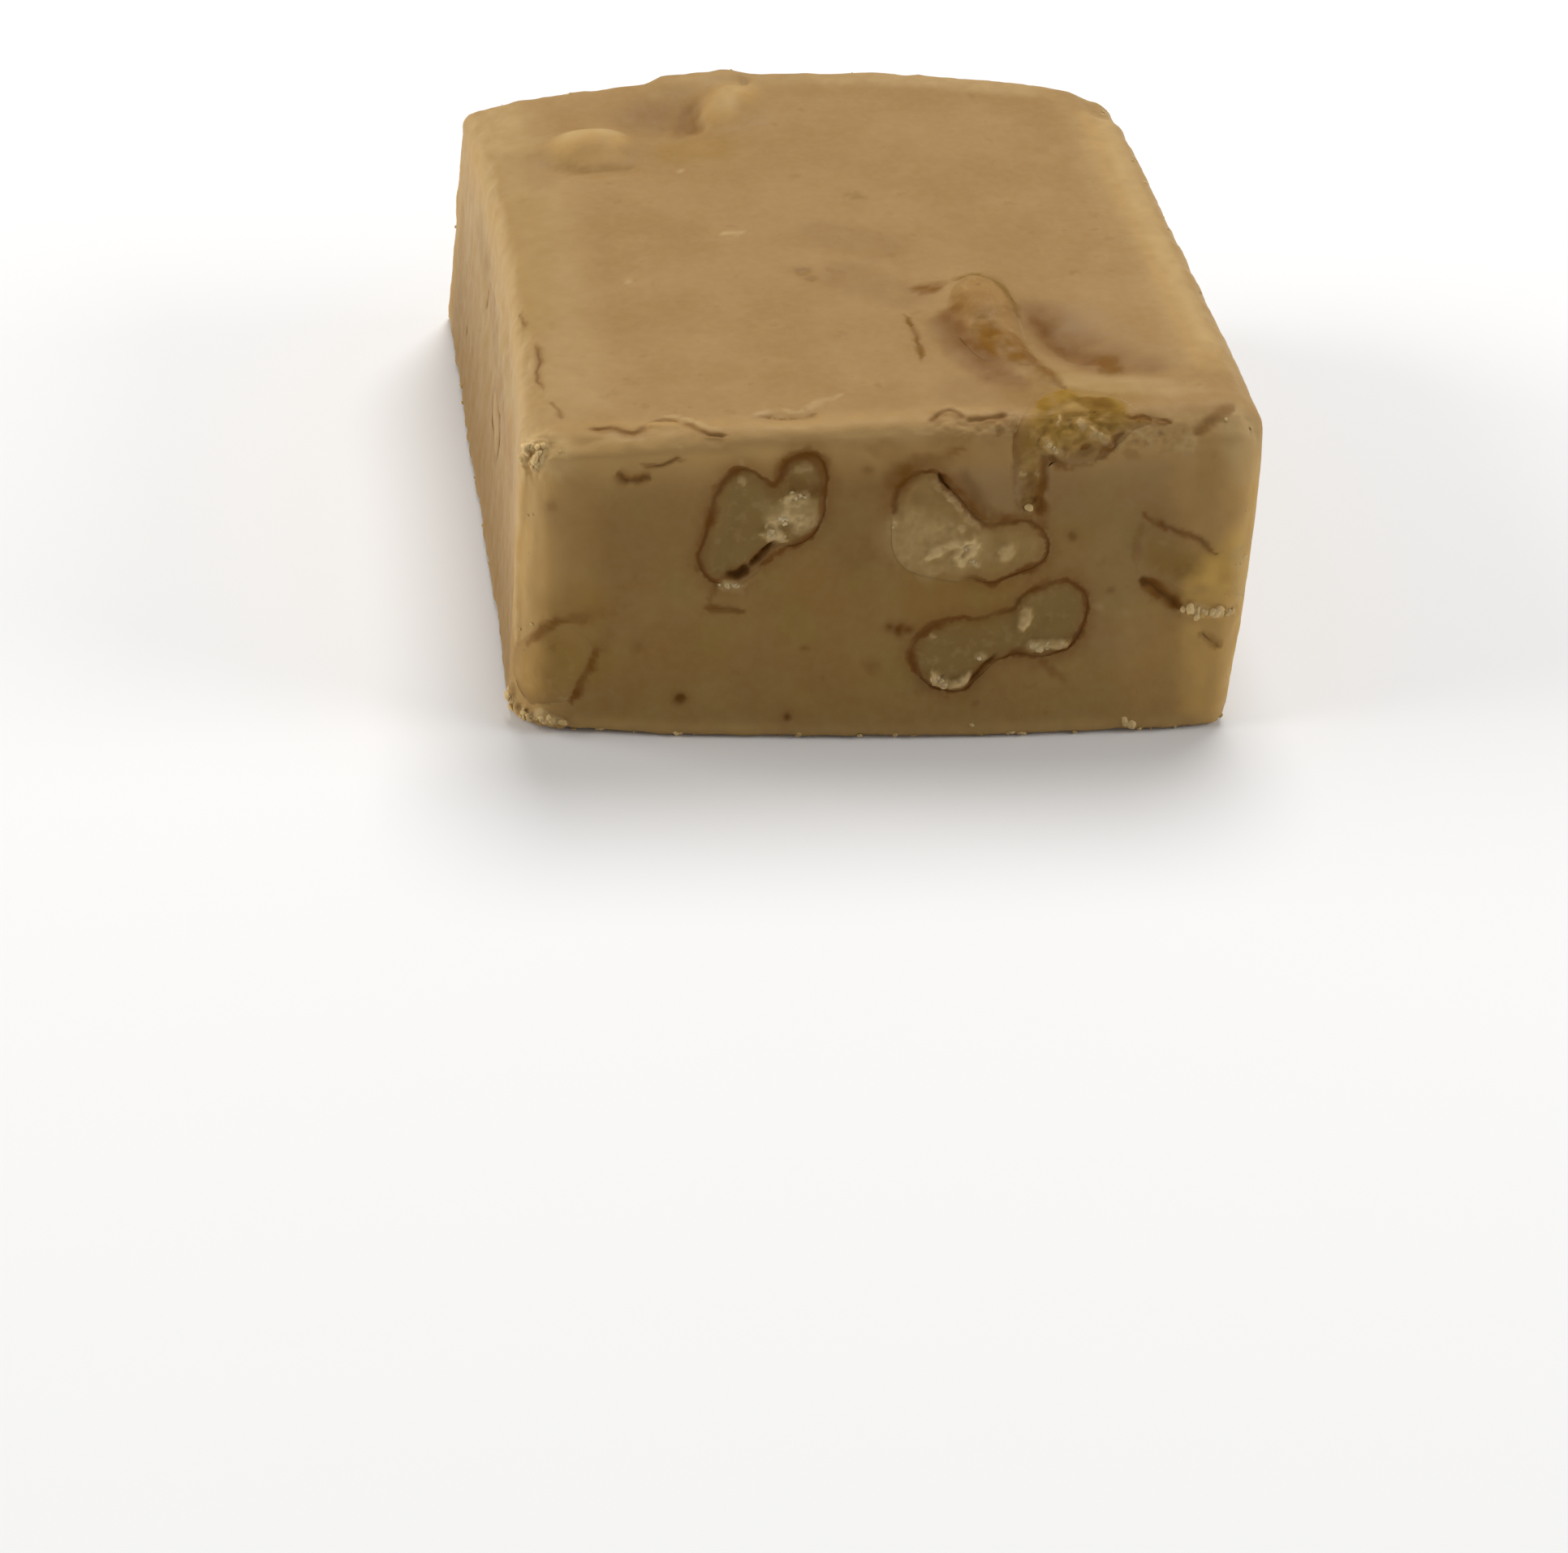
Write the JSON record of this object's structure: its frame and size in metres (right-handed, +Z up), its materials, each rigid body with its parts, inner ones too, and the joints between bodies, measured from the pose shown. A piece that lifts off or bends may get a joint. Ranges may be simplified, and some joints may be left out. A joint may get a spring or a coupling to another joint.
{
  "type": "walnut fudge",
  "caption": "Cut square of brown walnut fudge: a soft-edged slab with a smooth, cracked top and walnut pieces showing flush in its cut faces.",
  "frame": {"origin": "middle of the bounding box's base, on the surface that the piece lies on", "axes": "+Z up through the piece's thickness, -Y out of the cut face with the most walnut, +X to that face's right"},
  "size_m": [0.0476, 0.0526, 0.0211],
  "materials": {
    "fudge": "soft satin fudge, fine-grained where it was cut",
    "walnut": "broken walnut meat with thin brown skin"
  },
  "bodies": {
    "root": {"fudge_block": "fudge", "walnut_front_left": "walnut", "walnut_front_centre": "walnut", "walnut_front_lower": "walnut", "walnut_front_right": "walnut", "walnut_front_corner": "walnut", "walnut_top_edge": "walnut", "walnut_top": "walnut", "walnut_right_upper": "walnut", "walnut_right_lower": "walnut", "walnut_back_left": "walnut", "walnut_back_right": "walnut", "walnut_left_side": "walnut"}
  },
  "joints": []
}
